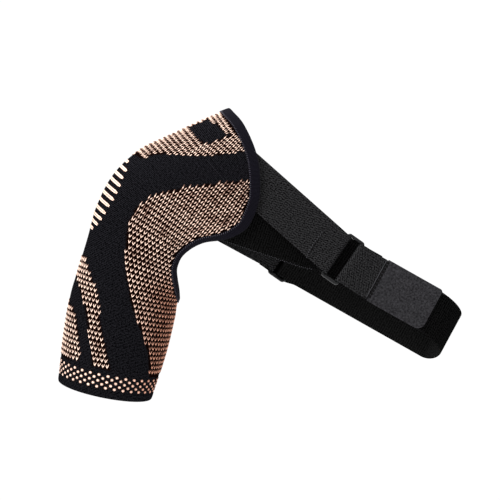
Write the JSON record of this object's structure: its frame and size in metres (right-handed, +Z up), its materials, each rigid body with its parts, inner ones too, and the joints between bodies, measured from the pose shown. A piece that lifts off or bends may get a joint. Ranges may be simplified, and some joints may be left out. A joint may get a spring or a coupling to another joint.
{
  "type": "shoulder brace",
  "caption": "Knitted shoulder and upper arm sleeve in its worn form, with a folded binding round the body opening and a chest strap loop through slide rings to a hook pad.",
  "frame": {"origin": "seat of the sleeve on top of the shoulder: the point of the knit's inner face on the ridge line, on the mid-plane between front and back", "axes": "+X from the arm towards the chest strap's loop, +Y from front to back, +Z up"},
  "size_m": [0.4278, 0.1252, 0.3112],
  "materials": {
    "knit": "matte ribbed knit with copper coloured stitches",
    "tape": "matte knitted tape",
    "elastic": "matte ribbed elastic",
    "hooks": "matte felted pad",
    "ring": "satin"
  },
  "bodies": {
    "root": {"sleeve": "knit", "arm_hem": "tape", "opening_binding": "tape", "front_upper_leg": "elastic", "front_lower_leg": "elastic", "front_ring": "ring", "long_strap": "elastic", "hook_tab": "hooks", "back_lower_leg": "elastic", "back_upper_leg": "elastic", "back_ring": "ring"}
  },
  "joints": []
}
